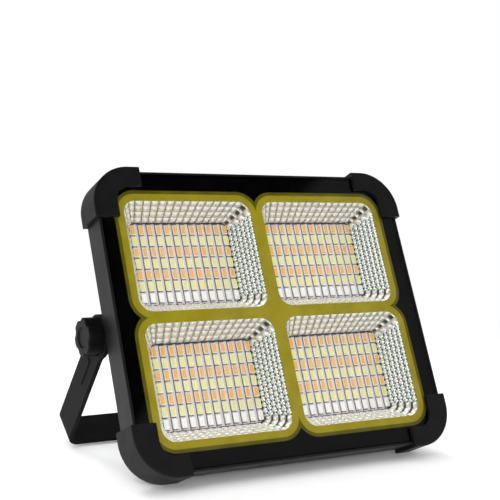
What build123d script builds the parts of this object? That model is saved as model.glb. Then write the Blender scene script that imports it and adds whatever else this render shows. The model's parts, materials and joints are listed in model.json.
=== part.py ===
from build123d import *
import os
from math import acos, atan2, cos, degrees, hypot, radians, sin

# Solar flood light on a folding bracket. Millimetres, +Z up, +X to the right as seen from the front.
# The head is drawn upright in its own frame: X across, Z up the face, Y into the depth, with the
# front of the glass on Y = 0. At the end it is tilted back, and the part is set down on the floor.

# ---- housing ----
face_w = 238.0          # front frame, across
face_h = 198.0          # front frame, up the face
frame_corner_r = 25.0
frame_depth = 19.0      # front of the glass to the back of the side wall
wall = 2.4              # moulded walls
rim_w = 1.6             # bare rim of the frame round the glass
rim_chamfer = 0.5
ledge_gap = 0.65        # inward ledge of the frame to the flanges of the cups
ledge_corner_r = 2.5
tilt = 27.0             # how far the face leans back
over = 1.0              # cuts run this far past the faces that they open

# ---- glass and its printing ----
glass_t = 3.2
print_t = 0.3
glass_gap = 0.3         # round the edge of the glass
gasket_t = 0.6
gasket_w = 5.0

# ---- windows, cups and LED boards ----
window_edge_x = 19.0    # side of the frame to the nearest window
window_edge_z = 19.75   # top or bottom of the frame to the nearest window
bar_w = 9.5             # upright bar of the cross between the windows
bar_h = 8.0             # level bar of the cross
window_corner_r = 9.0
band_w = 4.8            # bright band round each window
line_w = 2.4            # dark line round the band
cup_run_x = 10.325      # how far a side wall of a cup slopes inwards
cup_run_z = 8.825       # how far its top or bottom wall slopes inwards
cup_wall = 1.0
cup_flange_t = 1.0
cup_flange_gap = 0.3    # between neighbouring flanges
cup_lap = 0.4           # how far the print overlaps the mouth of a cup
cup_lip_t = 0.6         # lip round the floor of a cup, flat on its board
cup_lip_r = 3.6
facet_pitch = 6.5       # facets of the cup walls, along the wall
facet_rows = 4
facet_rise = 0.4
board_depth = 21.0      # front of the glass to the face of the boards
board_t = 1.6
board_margin = 2.5      # board round the floor of its cup
board_corner_r = 2.0
led_columns = 12
led_rows = 7
led_edge_x = 0.65       # outer LEDs to the wall of the cup
led_edge_z = 2.1
led_w = 3.7
led_h = 6.3
led_t = 0.9
plate_t = 1.2           # aluminium heat plate behind the boards
plate_margin = 6.0      # plate round the group of boards
plate_corner_r = 6.0

# ---- rear cover ----
cover_gap = 0.3         # cover in the frame
seal_t = 0.8
seal_w = 1.6
seal_fit = 0.1
tub_edge_x = 11.0       # side of the frame to the foot of the tub
tub_edge_z = 15.0
tub_depth = 45.0        # front of the glass to the back of the cover
tub_corner_r = 18.0
tub_draft = 4.0         # degrees
tub_edge_r = 4.0

# ---- solar module ----
solar_side = 12.0       # foot of the tub to the side of the module
solar_top = 6.0
solar_bottom = 40.0
solar_corner_r = 4.0
solar_gap = 0.3
sheet_t = 1.1
cell_t = 0.3
laminate_t = 1.0
solar_columns = 12
solar_rows = 2
solar_space = 1.2
solar_margin = 5.0

# ---- corner bumpers ----
bumper_t = 2.6          # in front of the glass and outside the wall
bumper_back_t = 2.0     # behind the wall
bumper_fit = 0.05
bumper_leg_x = 33.0     # along the top or bottom edge, from the outside of the frame
bumper_leg_z = 32.0     # along the side
bumper_lap_x = 14.0     # overlap of the glass from the side
bumper_lap_z = 11.0     # overlap from the top or bottom
bumper_lap_r = 10.0
bumper_back_lap_x = 9.6
bumper_back_lap_z = 12.0
bumper_edge_r = 1.1
bumper_heel_r = 0.55

# ---- pivots, bracket and knobs ----
pivot_drop = 1.5        # pivot axis below the middle of the face
pivot_depth = 34.0      # front of the glass to the pivot axis
hub_r = 10.5
hub_inside = 7.0        # length of the hub inside the cover
stud_r = 3.0
stud_fit = 0.08
stud_end_gap = 1.5      # end of the stud to the bottom of its insert
insert_r = 4.6
insert_len = 12.0
washer_t = 1.0
washer_r = 9.0
washer_fit = 0.3        # washer on its stud
slip = 0.05             # between faces that turn or slide on each other
strap_t = 3.0
strap_w = 22.0
arm_inset = 1.5         # side of the frame to the outside of an arm
stand_reach = 93.5      # pivot axis to the outside of the cross bar
bend_r = 9.0            # outside of the bend
eye_r = 14.2
eye_blend_r = 12.0
bead_w = 5.0
bead_len = 24.0
bead_start = 20.0       # from the pivot axis
bead_t = 0.7
bead_slope = 20.0       # degrees
hang_hole_r = 4.25
side_hole_r = 3.25
side_hole_x = 30.0
knob_r = 12.5
knob_len = 10.5
knob_lobes = 6
knob_flute_r = 5.0
knob_flute_depth = 1.5
knob_lobe_blend = 2.0
knob_edge_r = 1.2
knob_dish_r = 7.0       # shallow dish in the end of the knob
knob_dish_t = 0.8
stud_in_knob = 7.0

# ---- screws ----
screw_r = 1.5
screw_head_r = 2.7
screw_head_t = 1.3
screw_len = 8.0
screw_clear = 0.2       # shank in a plain hole
head_clear = 0.3        # head in its counterbore
post_r = 3.4
bumper_screw_in = 11.5  # bumper screws from the outside of the frame
plate_screw_in = 3.5    # heat-plate screws from the edge of the plate

# ---- switch and charge lights ----
button_r = 7.0
button_gap = 0.3
button_proud = 1.6
button_edge_r = 1.0
button_travel = 1.2
button_flange = 1.6
button_flange_t = 1.4
button_up = 18.0        # foot of the tub to the button's axis
lens_r = 1.6
lens_fit = 0.05
lens_head = 0.5         # inside the cover
lens_proud = 0.3
lens_pitch = 8.0
lens_x = 22.0           # first charge light from the button's axis
lens_count = 4
switch_board_w = 84.0
switch_board_h = 18.0
switch_drop = 5.0       # pressed button to the front of its board
switch_post_in = 4.4    # posts from the ends of the board
tact_w = 6.2
tact_t = 2.2
tact_stem_r = 1.7
tact_gap = 0.1

# ---- battery and control board ----
cell_len = 65.0
cell_count = 4
cell_space = 0.4
cell_gap = 0.4          # behind the heat plate
tray_floor = 1.2        # tray between the cells and the cover's roof
tray_edge = 2.0         # tray round the cells
tray_fit = 0.1
tray_end_fit = 0.2
battery_x = -36.0
control_w = 62.0
control_h = 44.0
control_stand_off = 3.0
control_drop = 1.0      # below the floor of the port bay
control_post_in = 5.0

# ---- charging port ----
port_in = 52.0          # foot of the tub to the middle of the port bay
usb_a_x = 10.0          # from the middle of the bay
usb_a_w = 13.2
usb_a_t = 5.8
usb_a_len = 14.0
usb_a_corner_r = 0.5
usb_a_tongue_w = 11.2
usb_a_tongue_t = 1.8
usb_a_tongue_shift = 1.2
type_c_x = -11.0
type_c_w = 9.0
type_c_t = 3.3
type_c_len = 8.0
type_c_corner_r = 1.6
type_c_tongue_w = 6.6
type_c_tongue_t = 0.7
shell_t = 0.38          # folded steel of the sockets
socket_end = 2.0        # solid end of a socket
socket_fit = 0.2
tongue_back = 0.9       # tongue inside the mouth
bay_w = 38.6
bay_h = 13.3            # along the depth of the head
bay_front = 25.7        # front of the glass to the near edge of the bay
bay_floor_t = 2.2
bay_deep = 2.0
hinge_room = 9.0        # notch behind the bay for the flap's hinge
pad_rise = 0.6          # port pad above the foot of the tub
pad_border = 4.5
pad_root = 6.0          # pad sunk into the draft of the tub's wall
flap_t = 2.5
flap_gap = 0.3
flap_lift = 0.1
flap_corner_r = 1.5
flap_neck_in = 3.0      # neck and barrel from the ends of the flap
flap_neck_t = 1.8
flap_lip_w = 12.0
flap_lip_t = 1.6
flap_lip_rise = 1.0
flap_pin_r = 0.75
flap_pin_fit = 0.08
flap_barrel_r = 1.6
hinge_sink = 0.2        # hinge axis below the top of the pad
ear_r = 2.0
ear_root = 3.0
ear_lap = 1.0           # ears reach in past the sides of the bay

# ---- worked out from the sizes above ----
half_w = face_w / 2
half_h = face_h / 2
window_w = half_w - bar_w / 2 - window_edge_x
window_h = half_h - bar_h / 2 - window_edge_z
cup_x = (window_w + bar_w) / 2
cup_z = (window_h + bar_h) / 2
floor_w = window_w - 2 * cup_run_x
floor_h = window_h - 2 * cup_run_z
led_pitch_x = (floor_w - led_w - 2 * led_edge_x) / (led_columns - 1)
led_pitch_z = (floor_h - led_h - 2 * led_edge_z) / (led_rows - 1)
print_back = glass_t + print_t
ledge_front = print_back + gasket_t
ledge_back = ledge_front + wall
ledge_in_x = window_edge_x - bar_w / 2 - ledge_gap
ledge_in_z = window_edge_z - bar_h / 2 - ledge_gap
cover_front = frame_depth - wall
board_back = board_depth + board_t
plate_back = board_back + plate_t
plate_w = 2 * cup_x + floor_w + 2 * (board_margin + plate_margin)
plate_h = 2 * cup_z + floor_h + 2 * (board_margin + plate_margin)
tub_w = face_w - 2 * tub_edge_x
tub_h = face_h - 2 * tub_edge_z
tub_top = tub_h / 2
port_x = tub_w / 2 - port_in
solar_w = tub_w - 2 * solar_side
solar_h = tub_h - solar_top - solar_bottom
solar_z = (solar_bottom - solar_top) / 2
solar_t = sheet_t + cell_t + laminate_t
roof_in = tub_depth - wall                  # inside of the cover's roof
well_in = roof_in - solar_t                 # inside of the roof under the module
stand_w = face_w - 2 * arm_inset            # over the outsides of the arms
stand_half = stand_w / 2
arm_in = stand_half - strap_t
hub_face = arm_in - washer_t
bumper_back = frame_depth + bumper_fit + bumper_back_t
pad_top = tub_top + pad_rise
pad_half = bay_w / 2 + pad_border
bay_floor = pad_top - bay_deep
bay_root = bay_floor - bay_floor_t
hinge_depth = bay_front + bay_h + flap_gap + flap_barrel_r
hinge_z = pad_top - hinge_sink
pad_back = hinge_depth - flap_barrel_r - flap_gap
button_z = button_up - tub_top
flange_front = roof_in - button_flange_t
switch_front = flange_front - button_travel - switch_drop
switch_back = switch_front + board_t
switch_mid = (lens_x + (lens_count - 1) * lens_pitch) / 2
control_front = well_in - control_stand_off - board_t
control_z = bay_root - control_drop - control_h / 2
cell_r = (well_in - tray_floor - plate_back - cell_gap) / 2
cell_pitch = 2 * cell_r + cell_space
cell_depth = plate_back + cell_gap + cell_r
corners = [(sx, sz) for sz in (1, -1) for sx in (-1, 1)]
corner_names = ["top_left", "top_right", "bottom_left", "bottom_right"]


def layer(outline, front, back):
    # an outline seen from the front, made solid between two depths
    return extrude(Plane.XZ.offset(-back) * outline, back - front)


def rod_y(r, x, z, front, back):
    return layer(Pos(x, z) * Circle(r), front, back)


def rod_x(r, x0, x1, y, z):
    return extrude(Plane.YZ.offset(min(x0, x1)) * (Pos(y, z) * Circle(r)), abs(x1 - x0))


def block(x0, x1, y0, y1, z0, z1):
    centre = Pos((x0 + x1) / 2, (y0 + y1) / 2, (z0 + z1) / 2)
    return centre * Box(abs(x1 - x0), abs(y1 - y0), abs(z1 - z0))


def face_outline(inset):
    # the frame's outline moved inwards
    return RectangleRounded(face_w - 2 * inset, face_h - 2 * inset, frame_corner_r - inset)


def window_group(grow):
    # the four windows, each grown by the same amount
    one = RectangleRounded(window_w + 2 * grow, window_h + 2 * grow, window_corner_r + grow)
    return Sketch() + [Pos(sx * cup_x, sz * cup_z) * one for sx, sz in corners]


def lobed_outline(inset):
    # one outline round all four windows, notched at the middle of each side
    whole = window_group(band_w + line_w)
    whole += RectangleRounded(bar_w + 4 * window_corner_r, bar_h + 4 * window_corner_r, window_corner_r)
    return whole if inset == 0 else offset(whole, -inset, kind=Kind.INTERSECTION)


def module_outline(grow):
    outline = RectangleRounded(solar_w + 2 * grow, solar_h + 2 * grow, solar_corner_r + grow)
    return Pos(0, solar_z) * outline


def screw(x, z, seat):
    # pan-head screw put in from behind, its head resting on the depth seat
    shank = rod_y(screw_r, x, z, seat - screw_len, seat)
    return shank + rod_y(screw_head_r, x, z, seat, seat + screw_head_t)


# places of the screws
flange_x = (tub_w / 2 + half_w - wall) / 2
flange_z = (tub_top + half_h - wall) / 2
cover_screw_spots = [(x, s * flange_z) for s in (1, -1) for x in (-tub_w / 4, tub_w / 4)]
cover_screw_spots += [(s * flange_x, z) for s in (1, -1) for z in (-tub_h / 4, tub_h / 4)]
bumper_screw_x = half_w - bumper_screw_in
bumper_screw_z = half_h - bumper_screw_in
bumper_screw_spots = [(sx * bumper_screw_x, sz * bumper_screw_z) for sx, sz in corners]
plate_screw_x = plate_w / 2 - plate_screw_in
plate_screw_z = plate_h / 2 - plate_screw_in
plate_screw_spots = [(sx * plate_screw_x, sz * plate_screw_z) for sx, sz in corners]
control_post_x = control_w / 2 - control_post_in
control_post_z = control_h / 2 - control_post_in
control_post_spots = [(port_x + sx * control_post_x, control_z + sz * control_post_z) for sx, sz in corners]
switch_post_spots = [switch_mid + s * (switch_board_w / 2 - switch_post_in) for s in (-1, 1)]
lens_spots = [lens_x + n * lens_pitch for n in range(lens_count)]


def front_frame():
    body = layer(face_outline(0), 0, frame_depth)
    body = chamfer(body.faces().sort_by(Axis.Y)[0].outer_wire().edges(), rim_chamfer)
    body -= layer(face_outline(rim_w), 0, ledge_front)
    opening = RectangleRounded(face_w - 2 * ledge_in_x, face_h - 2 * ledge_in_z, ledge_corner_r)
    body -= layer(opening, ledge_front, ledge_back)
    body -= layer(face_outline(wall + seal_w), ledge_back, frame_depth)
    for x, z in cover_screw_spots + bumper_screw_spots:
        body += rod_y(post_r, x, z, ledge_back, cover_front)
    body -= layer(face_outline(wall) - face_outline(wall + seal_w), cover_front - seal_t, frame_depth)
    for x, z in cover_screw_spots + bumper_screw_spots:
        body -= rod_y(screw_r, x, z, cover_front - screw_len, cover_front)
    return body


def tub_shell():
    # drafted tub and the hollow in it, which leaves walls of one thickness round the module's well
    foot = Plane(origin=(0, cover_front, 0), x_dir=(1, 0, 0), z_dir=(0, 1, 0))
    outline = RectangleRounded(tub_w, tub_h, tub_corner_r)
    hollow = RectangleRounded(tub_w - 2 * wall, tub_h - 2 * wall, tub_corner_r - wall)
    tub = extrude(foot * outline, tub_depth - cover_front, taper=tub_draft)
    tub = fillet(tub.faces().sort_by(Axis.Y)[-1].edges(), tub_edge_r)
    inside = extrude(foot * hollow, roof_in - cover_front, taper=tub_draft)
    inside -= layer(module_outline(solar_gap + wall), well_in, roof_in)
    return tub, inside


def roof_at(z):
    # inside of the roof above or beside the well of the solar module
    return well_in if z > solar_z - solar_h / 2 else roof_in


def rear_cover():
    tub, inside = tub_shell()
    body = layer(face_outline(wall + cover_gap), cover_front, frame_depth) + tub
    # the port pad stands on the top wall
    body += block(port_x - pad_half, port_x + pad_half, bay_front - pad_border, pad_back,
                  tub_top - pad_root, pad_top)
    body -= inside
    # thick floor behind the port bay
    body += block(port_x - pad_half, port_x + pad_half, bay_front - pad_border, pad_back,
                  bay_root, bay_floor)
    for side in (-1, 1):
        body += flap_ear(side)
        inner = side * (tub_w / 2 - wall - hub_inside)
        body += rod_x(hub_r, inner, side * hub_face, pivot_depth, -pivot_drop)
    for x, z in plate_screw_spots:
        body += rod_y(post_r, x, z, plate_back, roof_at(z))
    for x, z in control_post_spots:
        body += rod_y(post_r, x, z, control_front + board_t, well_in)
    for x in switch_post_spots:
        body += rod_y(post_r, x, button_z, switch_back, roof_in)
    for side in (-1, 1):
        body -= rod_x(insert_r, side * (hub_face - insert_len), side * hub_face, pivot_depth, -pivot_drop)
    body -= port_bay_cut()
    body -= layer(module_outline(solar_gap), tub_depth - solar_t, tub_depth)
    body -= rod_y(button_r + button_gap, 0, button_z, roof_in, tub_depth)
    for x in lens_spots:
        body -= rod_y(lens_r, x, button_z, roof_in, tub_depth)
    for x, z in cover_screw_spots + bumper_screw_spots:
        body -= rod_y(screw_r + screw_clear, x, z, cover_front, frame_depth)
    for x, z in cover_screw_spots:
        body -= rod_y(screw_head_r + head_clear, x, z, frame_depth - screw_head_t, frame_depth)
    for x, z in plate_screw_spots:
        body -= rod_y(screw_r, x, z, plate_back, plate_back + screw_len)
    return body


def flap_ear(side):
    # one of the two ears that hold the flap's pin
    near = port_x + side * (bay_w / 2 - ear_lap)
    far = port_x + side * pad_half
    ear = block(near, far, pad_back - ear_root, hinge_depth + ear_r, bay_root, hinge_z)
    ear += rod_x(ear_r, near, far, hinge_depth, hinge_z)
    return ear - rod_x(flap_pin_r, near, far, hinge_depth, hinge_z)


def port_bay_cut():
    cut = block(port_x - bay_w / 2, port_x + bay_w / 2, bay_front, bay_front + bay_h + hinge_room,
                bay_floor, pad_top + pad_root)
    for x, w, t in ((usb_a_x, usb_a_w, usb_a_t), (type_c_x, type_c_w, type_c_t)):
        mid = control_front - t / 2
        slot = Pos(port_x + x, mid) * RectangleRounded(w + 2 * socket_fit, t + 2 * socket_fit, usb_a_corner_r)
        cut += extrude(Plane.XY.offset(bay_root - over) * slot, bay_floor_t + 2 * over)
    return cut


def bumper(sx, sz):
    # a corner cap drawn for the top right corner, then mirrored to its own
    outer = layer(face_outline(-bumper_t), -bumper_t, bumper_back)
    outer = fillet(outer.faces().sort_by(Axis.Y)[0].edges(), bumper_edge_r)
    outer = fillet(outer.faces().sort_by(Axis.Y)[-1].edges(), bumper_heel_r)
    cap = outer & block(half_w - bumper_leg_x, face_w, -face_w, face_w, half_h - bumper_leg_z, face_h)
    cap -= layer(face_outline(-bumper_fit), 0, frame_depth + bumper_fit)
    cap -= layer(lap_outline(bumper_lap_x, bumper_lap_z, bumper_lap_r), -bumper_t, 0)
    cap -= layer(lap_outline(bumper_back_lap_x, bumper_back_lap_z, tub_corner_r), frame_depth, bumper_back)
    cap -= rod_y(screw_r + screw_clear, bumper_screw_x, bumper_screw_z, frame_depth, bumper_back)
    seat = bumper_back - screw_head_t
    cap -= rod_y(screw_head_r + head_clear, bumper_screw_x, bumper_screw_z, seat, bumper_back)
    if sx < 0:
        cap = mirror(cap, about=Plane.YZ)
    if sz < 0:
        cap = mirror(cap, about=Plane.XY)
    return cap


def lap_outline(lap_x, lap_z, r):
    # what a bumper leaves bare, seen from the front
    return RectangleRounded(face_w - 2 * lap_x, face_h - 2 * lap_z, r)


def flat_facet(*points):
    return Face(Wire.make_polygon([Vector(*p) for p in points], close=True))


def rectangle_loop(w, h, depth):
    return [(sx * w / 2, depth, sz * h / 2) for sx, sz in ((1, 1), (-1, 1), (-1, -1), (1, -1))]


def ring_face(outer, inner):
    loops = [Wire.make_polygon([Vector(*p) for p in loop], close=True) for loop in (outer, inner)]
    return Face(loops[0], [loops[1]])


def faceted_wall(mouth_a, mouth_b, floor_b, floor_a):
    # a sloping wall of shallow four-sided pyramids, all sharing one grid of corners
    a, b, c, d = (Vector(*p) for p in (mouth_a, mouth_b, floor_b, floor_a))
    columns = max(2, round((d - c).length / facet_pitch))
    inward = (b - a).cross(d - a).normalized()

    def at(u, v):
        top = a + (b - a) * u
        low = d + (c - d) * u
        return top + (low - top) * v

    faces = []
    for i in range(columns):
        for j in range(facet_rows):
            u0, u1 = i / columns, (i + 1) / columns
            v0, v1 = j / facet_rows, (j + 1) / facet_rows
            ring = [at(u0, v0), at(u1, v0), at(u1, v1), at(u0, v1)]
            peak = at((u0 + u1) / 2, (v0 + v1) / 2) + inward * facet_rise
            for k in range(4):
                faces.append(Face(Wire.make_polygon([ring[k], ring[(k + 1) % 4], peak], close=True)))
    return faces


def reflector():
    # a four-sided cup: faceted inside, plain outside, a flange against the print and a lip on the board
    front = print_back
    flange_back = front + cup_flange_t
    mouth_w, mouth_h = window_w + 2 * cup_lap, window_h + 2 * cup_lap
    flange_w, flange_h = window_w + bar_w - cup_flange_gap, window_h + bar_h - cup_flange_gap
    inner_mouth = rectangle_loop(mouth_w, mouth_h, front)
    inner_floor = rectangle_loop(floor_w, floor_h, board_depth)
    outer_mouth = rectangle_loop(mouth_w + 2 * cup_wall, mouth_h + 2 * cup_wall, flange_back)
    outer_floor = rectangle_loop(floor_w + 2 * cup_wall, floor_h + 2 * cup_wall, board_depth)
    flange_front = rectangle_loop(flange_w, flange_h, front)
    flange_rear = rectangle_loop(flange_w, flange_h, flange_back)
    faces = [
        ring_face(flange_front, inner_mouth),
        ring_face(flange_rear, outer_mouth),
        ring_face(outer_floor, inner_floor),
    ]
    for k in range(4):
        n = (k + 1) % 4
        faces += faceted_wall(inner_mouth[n], inner_mouth[k], inner_floor[k], inner_floor[n])
        faces.append(flat_facet(outer_mouth[k], outer_mouth[n], outer_floor[n], outer_floor[k]))
        faces.append(flat_facet(flange_front[k], flange_front[n], flange_rear[n], flange_rear[k]))
    lip = Rectangle(floor_w + cup_wall, floor_h + cup_wall) - RectangleRounded(floor_w, floor_h, cup_lip_r)
    return Solid(Shell(faces)) + layer(lip, board_depth - cup_lip_t, board_depth)


def led_group(row_kinds):
    # the LEDs in the rows of one kind, on all four boards
    chip = Box(led_w, led_t, led_h)
    depth = board_depth - led_t / 2
    chips = []
    for sx, sz in corners:
        for row in row_kinds:
            z = sz * cup_z + ((led_rows - 1) / 2 - row) * led_pitch_z
            for column in range(led_columns):
                x = sx * cup_x + (column - (led_columns - 1) / 2) * led_pitch_x
                chips.append(Pos(x, depth, z) * chip)
    return Compound(chips)


def charging_socket(x, w, t, length, corner_r, tongue_w, tongue_t, tongue_shift):
    # a folded steel shell round a tongue, its mouth level with the floor of the bay
    mid = Pos(port_x + x, control_front - t / 2)
    end = Plane.XY.offset(bay_floor - length)
    outline = RectangleRounded(w, t, corner_r)
    mouth = RectangleRounded(w - 2 * shell_t, t - 2 * shell_t, corner_r - shell_t)
    tongue = Pos(0, tongue_shift) * Rectangle(tongue_w, tongue_t)
    shell = extrude(end * (mid * outline), length) - extrude(end.offset(socket_end) * (mid * mouth), length)
    return shell + extrude(end * (mid * tongue), length - tongue_back)


def port_flap():
    half = bay_w / 2 - flap_gap
    near = bay_front + flap_gap
    low = bay_floor + flap_lift
    plate = block(port_x - half, port_x + half, near, near + bay_h, low, low + flap_t)
    plate = fillet(plate.edges().filter_by(Axis.Z), flap_corner_r)
    neck = half - flap_neck_in
    body = plate + block(port_x - neck, port_x + neck, near + bay_h - flap_neck_in, hinge_depth,
                         hinge_z - flap_neck_t / 2, hinge_z + flap_neck_t / 2)
    body += rod_x(flap_barrel_r, port_x - neck, port_x + neck, hinge_depth, hinge_z)
    body += block(port_x - flap_lip_w / 2, port_x + flap_lip_w / 2, near, near + flap_lip_t,
                  low, low + flap_t + flap_lip_rise)
    return body - rod_x(flap_pin_r + flap_pin_fit, port_x - half, port_x + half, hinge_depth, hinge_z)


def stand():
    # drawn folded down: arms along -Z from the pivot axis
    low = -stand_reach
    tall = stand_reach + 2 * eye_r
    path = Rectangle(stand_w, tall, align=(Align.CENTER, Align.MIN))
    path = Pos(0, low) * fillet(path.vertices().group_by(Axis.Y)[0], bend_r)
    gap = Rectangle(stand_w - 2 * strap_t, tall, align=(Align.CENTER, Align.MIN))
    gap = Pos(0, low + strap_t) * fillet(gap.vertices().group_by(Axis.Y)[0], bend_r - strap_t)
    strap = extrude(Plane.XZ.offset(-eye_r) * (path - gap), 2 * eye_r)
    side = Circle(eye_r) + Pos(0, low / 2) * Rectangle(strap_w, stand_reach)
    side = fillet(side.vertices().filter_by(lambda v: abs(v.Y) < eye_r and v.Y > low + over), eye_blend_r)
    body = strap & extrude(Plane.YZ.offset(-stand_half) * side, stand_w)
    bead = Pos(0, -bead_start - bead_len / 2) * SlotOverall(bead_len, bead_w, rotation=90)
    for s in (-1, 1):
        body -= rod_x(stud_r + stud_fit, s * (arm_in - over), s * (stand_half + over), 0, 0)
        body += extrude(Plane.YZ.offset(s * stand_half) * bead, s * bead_t, taper=bead_slope)
    holes = Sketch() + Circle(hang_hole_r) + [Pos(s * side_hole_x, 0) * Circle(side_hole_r) for s in (-1, 1)]
    return body - extrude(Plane.XY.offset(low - over) * holes, strap_t + 2 * over)


def knob(side):
    # lobed grip with a dished end, drawn on the +X side
    outline = Circle(knob_r)
    for n in range(knob_lobes):
        turn = Rot(0, 0, 360 / knob_lobes * (n + 0.5))
        outline -= turn * (Pos(knob_r + knob_flute_r - knob_flute_depth, 0) * Circle(knob_flute_r))
    outline = fillet(outline.vertices(), knob_lobe_blend)
    start = stand_half + slip
    grip = extrude(Plane.YZ.offset(start) * outline, knob_len)
    grip = fillet(grip.faces().sort_by(Axis.X)[-1].edges(), knob_edge_r)
    dish = Cone(knob_dish_r - knob_dish_t, knob_dish_r, knob_dish_t)
    grip -= Pos(start + knob_len - knob_dish_t / 2, 0, 0) * Rot(0, 90, 0) * dish
    grip -= rod_x(stud_r, start, start + stud_in_knob, 0, 0)
    grip = Pos(0, pivot_depth, -pivot_drop) * grip
    return grip if side > 0 else mirror(grip, about=Plane.YZ)


def knob_stud(side):
    start = hub_face - insert_len + stud_end_gap
    return rod_x(stud_r, side * start, side * (stand_half + slip + stud_in_knob), pivot_depth, -pivot_drop)


def pivot_ring(outer_r, inner_r, x0, x1):
    return rod_x(outer_r, x0, x1, pivot_depth, -pivot_drop) - rod_x(inner_r, x0, x1, pivot_depth, -pivot_drop)


def power_button():
    cap = rod_y(button_r, 0, button_z, flange_front, tub_depth + button_proud)
    cap = fillet(cap.faces().sort_by(Axis.Y)[-1].edges(), button_edge_r)
    return cap + rod_y(button_r + button_flange, 0, button_z, flange_front, roof_in - slip)


def solar_cells():
    w = (solar_w - 2 * solar_margin - (solar_columns - 1) * solar_space) / solar_columns
    h = (solar_h - 2 * solar_margin - (solar_rows - 1) * solar_space) / solar_rows
    depth = tub_depth - laminate_t - cell_t / 2
    cells = []
    for i in range(solar_columns):
        for j in range(solar_rows):
            x = (i - (solar_columns - 1) / 2) * (w + solar_space)
            z = (j - (solar_rows - 1) / 2) * (h + solar_space) + solar_z
            cells.append(Pos(x, depth, z) * Box(w, cell_t, h))
    return Compound(cells)


def cell_spots():
    return [battery_x + (n - (cell_count - 1) / 2) * cell_pitch for n in range(cell_count)]


def battery_tray():
    # cradle between the cells and the roof of the cover
    half = cell_count * cell_pitch / 2 + tray_edge
    end = cell_len / 2 + tray_edge
    tray = block(battery_x - half, battery_x + half, cell_depth + cell_r / 2, well_in, -end, end)
    for x in cell_spots():
        tray -= Pos(x, cell_depth, 0) * Cylinder(cell_r + tray_fit, cell_len + 2 * tray_end_fit)
    return tray


def control_board():
    return block(port_x - control_w / 2, port_x + control_w / 2, control_front, control_front + board_t,
                 control_z - control_h / 2, control_z + control_h / 2)


def switch_board():
    half = switch_board_w / 2
    return block(switch_mid - half, switch_mid + half, switch_front, switch_back,
                 button_z - switch_board_h / 2, button_z + switch_board_h / 2)


def tact_switch():
    half = tact_w / 2
    top = switch_back + tact_t
    body = block(-half, half, switch_back, top, button_z - half, button_z + half)
    return body + rod_y(tact_stem_r, 0, button_z, top, flange_front - button_travel - tact_gap)


parts = {}
parts["front_frame"] = front_frame()
parts["rear_cover"] = rear_cover()
parts["cover_seal"] = layer(
    face_outline(wall + seal_fit) - face_outline(wall + seal_w), cover_front - seal_t, cover_front
)
glass_outline = face_outline(rim_w + glass_gap)
gasket_outline = glass_outline - face_outline(rim_w + glass_gap + gasket_w)
parts["front_glass"] = layer(glass_outline, 0, glass_t)
parts["glass_gasket"] = layer(gasket_outline, print_back, ledge_front)
parts["border_print_black"] = layer(glass_outline - lobed_outline(0), glass_t, print_back)
parts["outline_print_olive"] = layer(lobed_outline(0) - lobed_outline(line_w), glass_t, print_back)
parts["window_print_yellow"] = layer(lobed_outline(line_w) - window_group(0), glass_t, print_back)
cup = reflector()
board = RectangleRounded(floor_w + 2 * board_margin, floor_h + 2 * board_margin, board_corner_r)
for name, (sx, sz) in zip(corner_names, corners):
    parts[f"corner_bumper_{name}"] = bumper(sx, sz)
    parts[f"reflector_{name}"] = Pos(sx * cup_x, 0, sz * cup_z) * cup
    parts[f"led_board_{name}"] = layer(Pos(sx * cup_x, sz * cup_z) * board, board_depth, board_back)
parts["leds_warm"] = led_group(range(0, led_rows - 1, 2))
parts["leds_yellow"] = led_group(range(1, led_rows - 1, 2))
parts["leds_white"] = led_group([led_rows - 1])
parts["heat_plate"] = layer(RectangleRounded(plate_w, plate_h, plate_corner_r), board_back, plate_back)
for x, z in plate_screw_spots:
    parts["heat_plate"] -= rod_y(screw_r + screw_clear, x, z, board_back, plate_back)
parts["plate_screws"] = Compound([
    rod_y(screw_r, x, z, board_back, board_back + screw_len)
    + rod_y(screw_head_r, x, z, board_back - screw_head_t, board_back)
    for x, z in plate_screw_spots
])
parts["battery_cells"] = Compound([Pos(x, cell_depth, 0) * Cylinder(cell_r, cell_len) for x in cell_spots()])
parts["battery_tray"] = battery_tray()
parts["control_board"] = control_board()
parts["usb_a_socket"] = charging_socket(
    usb_a_x, usb_a_w, usb_a_t, usb_a_len, usb_a_corner_r, usb_a_tongue_w, usb_a_tongue_t, usb_a_tongue_shift
)
parts["type_c_socket"] = charging_socket(
    type_c_x, type_c_w, type_c_t, type_c_len, type_c_corner_r, type_c_tongue_w, type_c_tongue_t, 0
)
parts["switch_board"] = switch_board()
parts["tact_switch"] = tact_switch()
parts["solar_backsheet"] = layer(module_outline(0), tub_depth - solar_t, tub_depth - solar_t + sheet_t)
parts["solar_cells"] = solar_cells()
parts["solar_laminate"] = layer(module_outline(0), tub_depth - laminate_t, tub_depth)
parts["charge_lenses"] = Compound([
    rod_y(lens_r - lens_fit, x, button_z, roof_in - lens_head, tub_depth + lens_proud) for x in lens_spots
])
parts["cover_screws"] = Compound([screw(x, z, frame_depth - screw_head_t) for x, z in cover_screw_spots])
parts["bumper_screws"] = Compound([screw(x, z, bumper_back - screw_head_t) for x, z in bumper_screw_spots])
parts["pivot_inserts"] = Compound([
    pivot_ring(insert_r, stud_r + stud_fit, s * (hub_face - insert_len), s * hub_face) for s in (-1, 1)
])
parts["friction_washers"] = Compound([
    pivot_ring(washer_r, stud_r + washer_fit, s * hub_face, s * (arm_in - slip)) for s in (-1, 1)
])
pin_half = pad_half - ear_lap
parts["flap_pin"] = rod_x(flap_pin_r, port_x - pin_half, port_x + pin_half, hinge_depth, hinge_z)
parts["port_flap"] = port_flap()
parts["power_button"] = power_button()
for name, side in (("left", -1), ("right", 1)):
    parts[f"knob_{name}"] = knob(side)
    parts[f"knob_stud_{name}"] = knob_stud(side)

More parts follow.
